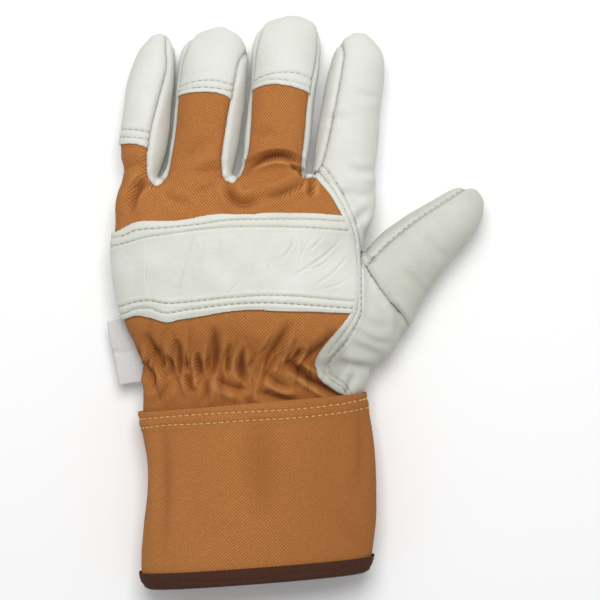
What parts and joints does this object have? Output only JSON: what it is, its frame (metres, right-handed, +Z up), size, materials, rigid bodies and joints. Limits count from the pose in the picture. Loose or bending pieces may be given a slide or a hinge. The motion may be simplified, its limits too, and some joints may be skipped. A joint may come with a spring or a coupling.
{
  "type": "insulated leather work glove",
  "caption": "Insulated work glove for the left hand: leather palm, index finger, thumb and knuckle strap, tan canvas back with an elastic wrist, and a stiff bound safety cuff.",
  "frame": {"origin": "centre of the bounding box on the surface that the palm rests on", "axes": "+Y towards the fingertips, +X towards the thumb, +Z up out of the back of the hand"},
  "size_m": [0.1784, 0.2712, 0.0386],
  "materials": {
    "leather": "cream white cowhide grain, softly creased",
    "canvas": "tan brown cotton duck, plain weave, matt",
    "binding": "dark brown woven tape, matt",
    "tab": "pale grey woven satin, bare"
  },
  "bodies": {
    "root": {"back_canvas": "canvas", "little_cap": "leather", "ring_cap": "leather", "middle_cap": "leather", "fourchette_little_ring": "leather", "fourchette_ring_middle": "leather", "fourchette_middle_index": "leather", "palm": "leather", "ring_front": "leather", "middle_front": "leather", "thumb_back": "leather", "thumb_front": "leather", "knuckle_strap": "leather", "cuff": "canvas", "cuff_binding": "binding", "side_tab": "tab"}
  },
  "joints": []
}
